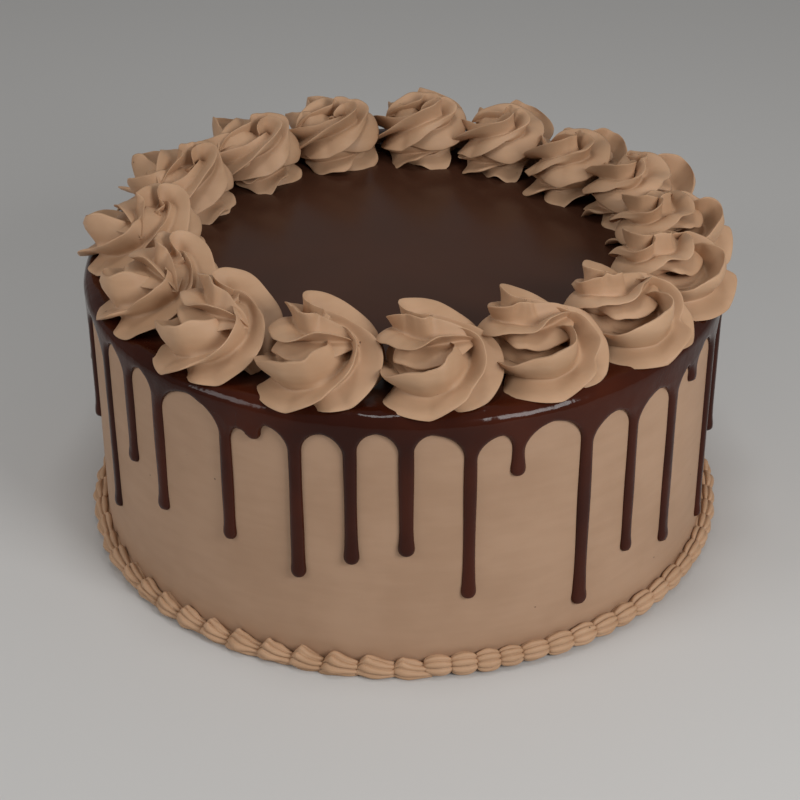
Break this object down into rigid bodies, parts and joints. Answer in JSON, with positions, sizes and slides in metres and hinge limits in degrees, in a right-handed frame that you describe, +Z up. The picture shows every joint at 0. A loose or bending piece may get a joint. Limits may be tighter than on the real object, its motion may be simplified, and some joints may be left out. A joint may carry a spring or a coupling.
{
  "type": "chocolate drip cake",
  "caption": "Tall round frosted cake with a glossy chocolate cap that drips down the side, a ring of piped swirls on top and a piped shell border at the foot.",
  "frame": {"origin": "centre of the cake's flat foot", "axes": "+Z up, -Y towards the front of the pictured cake, +X to its right"},
  "size_m": [0.2362, 0.2363, 0.1254],
  "materials": {
    "buttercream": "smooth scraped cocoa buttercream",
    "piped_buttercream": "piped cocoa buttercream with soft ridges",
    "ganache": "glossy set dark chocolate"
  },
  "bodies": {
    "root": {"frosted_body": "buttercream", "ganache_cap": "ganache", "shell_border": "piped_buttercream", "swirl_01": "piped_buttercream", "swirl_02": "piped_buttercream", "swirl_03": "piped_buttercream", "swirl_04": "piped_buttercream", "swirl_05": "piped_buttercream", "swirl_06": "piped_buttercream", "swirl_07": "piped_buttercream", "swirl_08": "piped_buttercream", "swirl_09": "piped_buttercream", "swirl_10": "piped_buttercream", "swirl_11": "piped_buttercream", "swirl_12": "piped_buttercream", "swirl_13": "piped_buttercream", "swirl_14": "piped_buttercream", "swirl_15": "piped_buttercream", "swirl_16": "piped_buttercream"}
  },
  "joints": []
}
